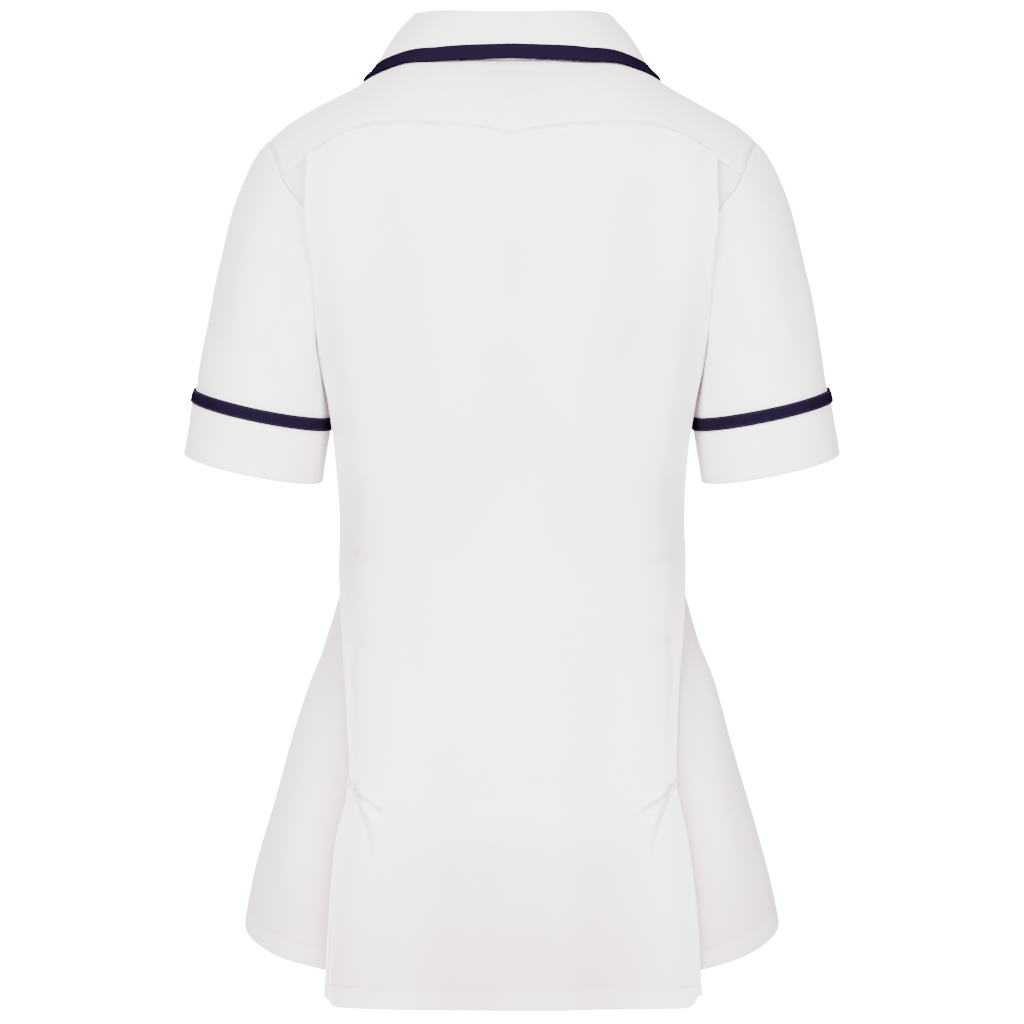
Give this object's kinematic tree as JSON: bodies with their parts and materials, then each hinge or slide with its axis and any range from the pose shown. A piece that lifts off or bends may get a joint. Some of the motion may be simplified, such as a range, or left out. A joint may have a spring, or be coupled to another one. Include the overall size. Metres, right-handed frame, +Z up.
{
  "type": "medical tunic, worn form",
  "caption": "Short-sleeved healthcare tunic in its worn, hollow form: open collar, navy trims, action-pleat back with side vents, zip front.",
  "frame": {"origin": "midway between the two shoulders, on the level where the collar's edge meets the shoulder line, inside the neck", "axes": "+Z up, from the hem to the collar; +Y towards the back; +X towards the wearer's left"},
  "size_m": [0.512, 0.2735, 0.757],
  "materials": {
    "white_cloth": "matt white polyester and cotton weave",
    "navy_trim": "matt navy braid",
    "zip_tape": "white woven tape",
    "zip_metal": "satin metal"
  },
  "bodies": {
    "garment": {"yoke": "white_cloth", "back_centre": "white_cloth", "side_back_left": "white_cloth", "side_back_right": "white_cloth", "front_left": "white_cloth", "front_right": "white_cloth", "sleeve_left": "white_cloth", "sleeve_right": "white_cloth", "cuff_left": "white_cloth", "cuff_right": "white_cloth", "cuff_trim_left": "navy_trim", "cuff_trim_right": "navy_trim", "collar": "white_cloth", "collar_trim": "navy_trim", "revers_left": "white_cloth", "revers_right": "white_cloth", "zip_tape": "zip_tape", "zip_slider": "zip_metal"},
    "zip_pull": {"zip_pull": "zip_metal"}
  },
  "joints": [
    {"name": "zip_pull_hinge", "type": "hinge", "parent": "garment", "child": "zip_pull", "pos_m": [0, -0.1059, -0.1195], "axis": [-1, 0, 0], "range_deg": [0, 150]}
  ]
}
